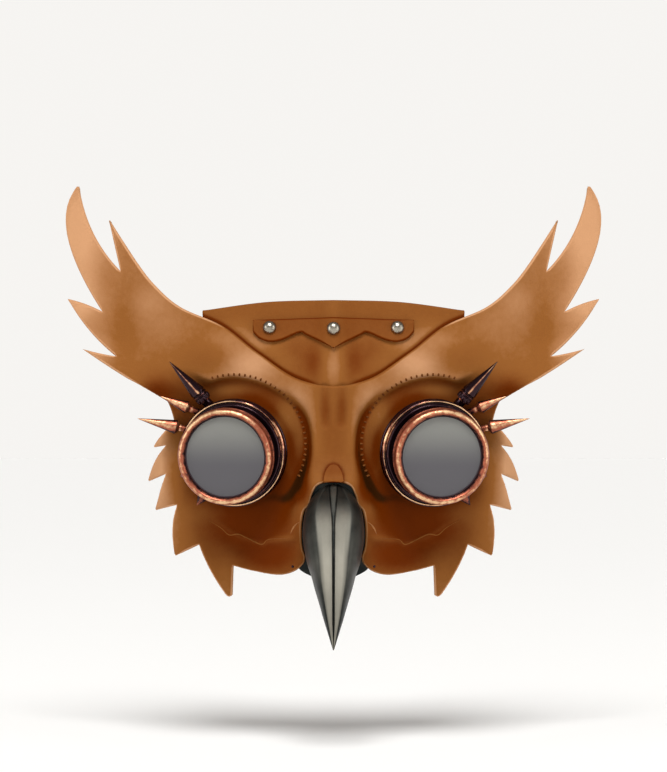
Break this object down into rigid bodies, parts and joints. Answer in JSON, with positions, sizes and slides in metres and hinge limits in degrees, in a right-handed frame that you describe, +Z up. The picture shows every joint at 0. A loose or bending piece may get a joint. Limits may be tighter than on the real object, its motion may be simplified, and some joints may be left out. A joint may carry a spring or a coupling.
{
  "type": "steampunk owl mask",
  "caption": "Leather owl mask with feathered brow wings and cheeks, spiked round eyepieces and a hooked metal beak, worn over the face.",
  "frame": {"origin": "middle of the eye line, in the plane where the mask sits on the wearer's face", "axes": "+X to the right as seen from the front, +Y back towards the wearer, +Z up"},
  "size_m": [0.322, 0.093, 0.2748],
  "materials": {
    "tan_leather": "wet-formed vegetable-tanned leather, dyed tan and darker in the hollows",
    "worn_copper": "antique copper plate, rubbed bright on the edges",
    "dark_copper": "copper plate with a dark patina",
    "gunmetal": "polished gunmetal",
    "nickel": "nickel plate, tarnished",
    "smoked_glass": "grey smoked glass"
  },
  "bodies": {
    "root": {"face_leather": "tan_leather", "forehead_leather": "tan_leather", "stud_tab": "tan_leather", "nose_tab": "tan_leather", "beak": "gunmetal", "dome_stud_left": "nickel", "dome_stud_middle": "nickel", "dome_stud_right": "nickel", "eye_cup_left": "dark_copper", "bezel_left": "worn_copper", "lens_left": "smoked_glass", "spike_1_left": "dark_copper", "spike_2_left": "worn_copper", "spike_3_left": "worn_copper", "short_spike_1_left": "worn_copper", "short_spike_2_left": "worn_copper", "eye_cup_right": "dark_copper", "bezel_right": "worn_copper", "lens_right": "smoked_glass", "spike_1_right": "dark_copper", "spike_2_right": "worn_copper", "spike_3_right": "worn_copper", "short_spike_1_right": "worn_copper", "short_spike_2_right": "worn_copper"}
  },
  "joints": []
}
